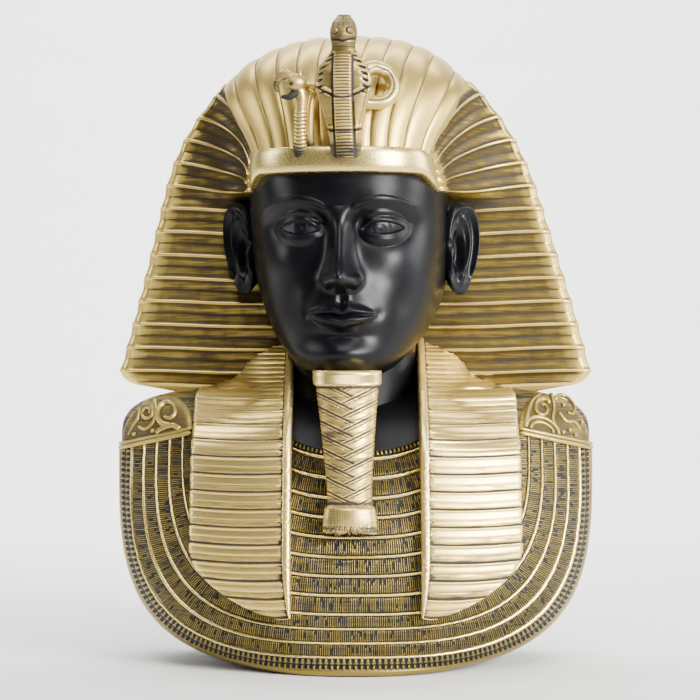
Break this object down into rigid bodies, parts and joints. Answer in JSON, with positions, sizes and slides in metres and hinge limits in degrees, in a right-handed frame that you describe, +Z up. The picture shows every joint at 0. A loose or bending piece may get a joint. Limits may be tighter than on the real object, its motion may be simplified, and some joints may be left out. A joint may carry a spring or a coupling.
{
  "type": "pharaoh bust",
  "caption": "Gold and black display bust of a pharaoh in a striped headcloth with brow cobra, false beard and wide bead collar, cut flat below.",
  "frame": {"origin": "middle of the underside's bounding box, on the surface that the bust stands on", "axes": "+Z up, the bust faces -Y, +X to the viewer's right"},
  "size_m": [0.3678, 0.2581, 0.48],
  "materials": {
    "gold_paint": "cast resin, dark patina rubbed back under bright gold paint",
    "black_paint": "cast resin, smooth satin black paint"
  },
  "bodies": {
    "root": {"bust": "gold_paint", "false_beard": "gold_paint", "uraeus": "gold_paint"}
  },
  "joints": []
}
